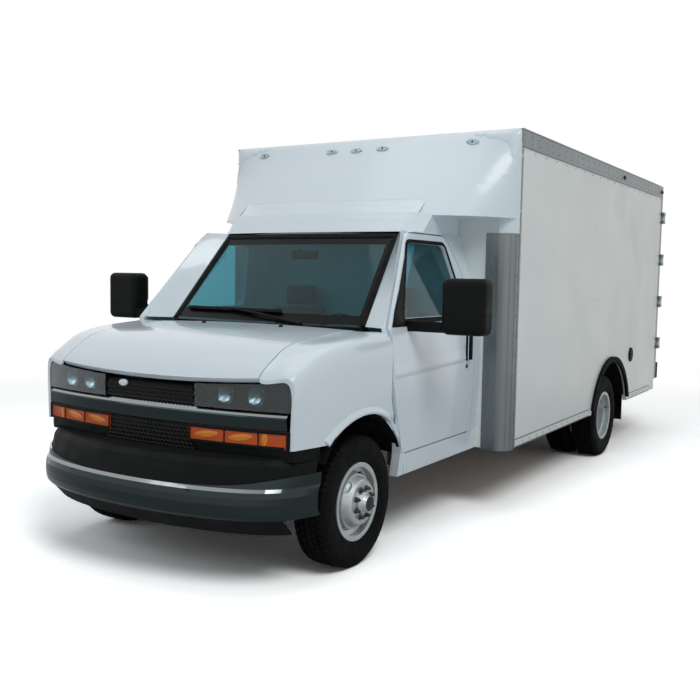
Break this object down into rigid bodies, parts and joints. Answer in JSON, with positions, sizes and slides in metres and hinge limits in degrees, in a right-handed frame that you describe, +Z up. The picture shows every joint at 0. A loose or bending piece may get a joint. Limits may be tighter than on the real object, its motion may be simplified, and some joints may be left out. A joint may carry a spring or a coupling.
{
  "type": "box truck",
  "caption": "Cutaway-cab box truck: hollow cab with two doors and a hood, hollow box body with rear swing doors, single front and twin rear wheels that turn, and steering.",
  "frame": {"origin": "on the ground, in the middle of the truck's length and width", "axes": "+Z up, +Y to the rear along the truck's length, +X to the truck's left side"},
  "size_m": [2.956, 6.9249, 2.645],
  "materials": {
    "white_paint": "gloss white",
    "white_panel": "satin white",
    "fibreglass": "moulded white",
    "aluminium": "mill finish",
    "chrome": "bright",
    "black_plastic": "grained black",
    "lamp": "clear lens",
    "amber": "amber lens",
    "glass": "tinted",
    "tyre": "black",
    "rim": "silver",
    "steel": "black chassis",
    "rubber": "black",
    "trim_grey": "grey interior",
    "cloth": "grey woven",
    "floor_wood": "sealed boards"
  },
  "bodies": {
    "chassis": {"arch_flares": "rubber", "body_lamps": "lamp", "body_rails": "aluminium", "body_roof": "white_panel", "bumper_chrome": "chrome", "bumper_cover": "black_plastic", "cab_floor": "trim_grey", "cab_roof": "white_paint", "cab_sides": "white_paint", "cargo_floor": "floor_wood", "chrome_bar": "chrome", "corner_posts": "aluminium", "crossmembers": "steel", "dashboard": "trim_grey", "dock_bumpers": "rubber", "driveline": "steel", "engine_block": "steel", "exhaust": "steel", "fenders": "white_paint", "firewall": "black_plastic", "frame_rails": "steel", "front_axle": "steel", "front_cap": "fibreglass", "front_lamps": "black_plastic", "front_wall": "white_panel", "fuel_filler": "black_plastic", "fuel_tank": "steel", "grille": "black_plastic", "lamp_lenses": "lamp", "mud_flaps": "rubber", "radiator": "steel", "rear_axle": "steel", "rear_bumper": "steel", "rear_frame": "aluminium", "seats": "cloth", "side_walls": "white_panel", "turn_lamps": "amber", "windshield": "glass"},
    "steering_wheel_body": {"steering_wheel": "black_plastic"},
    "hood_body": {"hood": "white_paint"},
    "door_left_body": {"door_left": "white_paint", "door_glass_left": "glass", "mirror_left": "black_plastic"},
    "door_right_body": {"door_right": "white_paint", "door_glass_right": "glass", "mirror_right": "black_plastic"},
    "rear_door_left_body": {"rear_door_left": "white_panel"},
    "rear_door_right_body": {"rear_door_right": "white_panel"},
    "knuckle_left_body": {"knuckle_left": "steel"},
    "knuckle_right_body": {"knuckle_right": "steel"},
    "front_wheel_left": {"front_rim_left": "rim", "front_tyre_left": "tyre"},
    "front_wheel_right": {"front_rim_right": "rim", "front_tyre_right": "tyre"},
    "rear_wheels_left": {"rear_rims_left": "rim", "rear_tyres_left": "tyre"},
    "rear_wheels_right": {"rear_rims_right": "rim", "rear_tyres_right": "tyre"}
  },
  "joints": [
    {"name": "hood_hinge", "type": "hinge", "parent": "chassis", "child": "hood_body", "pos_m": [0, -2.3625, 1.278], "axis": [-1, 0, 0], "range_deg": [0, 50]},
    {"name": "door_left_hinge", "type": "hinge", "parent": "chassis", "child": "door_left_body", "pos_m": [1.008, -2.3355, 1], "axis": [0, 0, -1], "range_deg": [0, 68]},
    {"name": "door_right_hinge", "type": "hinge", "parent": "chassis", "child": "door_right_body", "pos_m": [-1.008, -2.3355, 1], "axis": [0, 0, 1], "range_deg": [0, 68]},
    {"name": "rear_door_left_hinge", "type": "hinge", "parent": "chassis", "child": "rear_door_left_body", "pos_m": [1.235, 3.3285, 1.6], "axis": [0, 0, -1], "range_deg": [0, 268]},
    {"name": "rear_door_right_hinge", "type": "hinge", "parent": "chassis", "child": "rear_door_right_body", "pos_m": [-1.235, 3.3285, 1.6], "axis": [0, 0, 1], "range_deg": [0, 268]},
    {"name": "steer_left", "type": "hinge", "parent": "chassis", "child": "knuckle_left_body", "pos_m": [0.765, -2.5775, 0.372], "axis": [0, 0, 1], "range_deg": [-32, 32]},
    {"name": "steer_right", "type": "hinge", "parent": "chassis", "child": "knuckle_right_body", "pos_m": [-0.765, -2.5775, 0.372], "axis": [0, 0, 1], "range_deg": [-32, 32]},
    {"name": "steering_wheel_spin", "type": "hinge", "parent": "chassis", "child": "steering_wheel_body", "pos_m": [0.42, -1.8875, 1.21], "axis": [0, 0.866, 0.5], "range_deg": [-520, 520]},
    {"name": "front_wheel_left_spin", "type": "hinge", "parent": "knuckle_left_body", "child": "front_wheel_left", "pos_m": [0.836, -2.5775, 0.372], "axis": [1, 0, 0], "continuous": true},
    {"name": "front_wheel_right_spin", "type": "hinge", "parent": "knuckle_right_body", "child": "front_wheel_right", "pos_m": [-0.836, -2.5775, 0.372], "axis": [1, 0, 0], "continuous": true},
    {"name": "rear_wheels_left_spin", "type": "hinge", "parent": "chassis", "child": "rear_wheels_left", "pos_m": [0.9515, 1.4615, 0.372], "axis": [1, 0, 0], "continuous": true},
    {"name": "rear_wheels_right_spin", "type": "hinge", "parent": "chassis", "child": "rear_wheels_right", "pos_m": [-0.9515, 1.4615, 0.372], "axis": [1, 0, 0], "continuous": true}
  ],
  "couplings": [
    {"joint": "steer_right", "follows": "steer_left", "ratio": 1},
    {"joint": "steering_wheel_spin", "follows": "steer_left", "ratio": 16}
  ]
}
